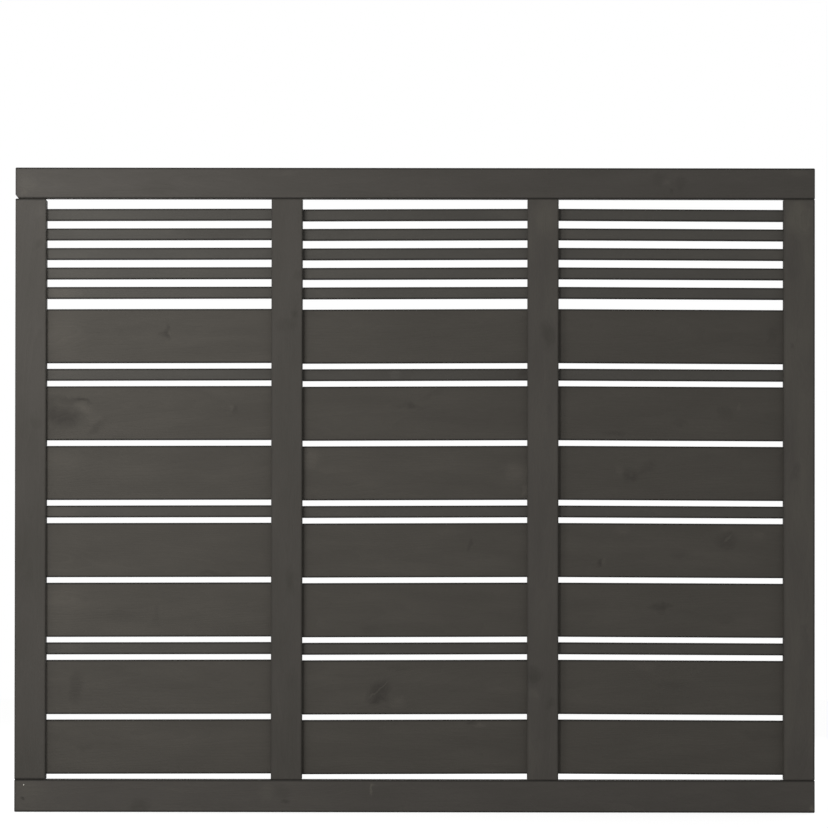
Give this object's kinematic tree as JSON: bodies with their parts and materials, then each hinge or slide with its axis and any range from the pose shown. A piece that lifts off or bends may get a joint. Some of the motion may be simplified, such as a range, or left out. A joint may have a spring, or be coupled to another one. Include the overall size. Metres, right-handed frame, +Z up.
{
  "type": "privacy fence panel",
  "caption": "Framed privacy fence panel of dark stained softwood, with level slats and wide boards held between grooved stiles.",
  "frame": {"origin": "centre of the flat face on the left end of the panel, which is fixed to a post", "axes": "+X along the panel to its right end, +Y to the back, +Z up"},
  "size_m": [1.8, 0.045, 1.45],
  "materials": {
    "stained_frame": "opaque dark grey-brown wood stain, matt",
    "stained_slats": "opaque dark grey-brown wood stain, matt"
  },
  "bodies": {
    "root": {"bottom_rail": "stained_frame", "left_bay_board_1": "stained_slats", "left_bay_board_2": "stained_slats", "left_bay_board_3": "stained_slats", "left_bay_board_4": "stained_slats", "left_bay_board_5": "stained_slats", "left_bay_board_6": "stained_slats", "left_bay_board_7": "stained_slats", "left_bay_slat_6": "stained_slats", "left_bay_slat_7": "stained_slats", "left_bay_slat_8": "stained_slats", "left_bay_top_slats": "stained_slats", "left_end_stile": "stained_frame", "left_middle_stile": "stained_frame", "middle_bay_board_1": "stained_slats", "middle_bay_board_2": "stained_slats", "middle_bay_board_3": "stained_slats", "middle_bay_board_4": "stained_slats", "middle_bay_board_5": "stained_slats", "middle_bay_board_6": "stained_slats", "middle_bay_board_7": "stained_slats", "middle_bay_slat_6": "stained_slats", "middle_bay_slat_7": "stained_slats", "middle_bay_slat_8": "stained_slats", "middle_bay_top_slats": "stained_slats", "right_bay_board_1": "stained_slats", "right_bay_board_2": "stained_slats", "right_bay_board_3": "stained_slats", "right_bay_board_4": "stained_slats", "right_bay_board_5": "stained_slats", "right_bay_board_6": "stained_slats", "right_bay_board_7": "stained_slats", "right_bay_slat_6": "stained_slats", "right_bay_slat_7": "stained_slats", "right_bay_slat_8": "stained_slats", "right_bay_top_slats": "stained_slats", "right_end_stile": "stained_frame", "right_middle_stile": "stained_frame", "top_rail": "stained_frame"}
  },
  "joints": []
}
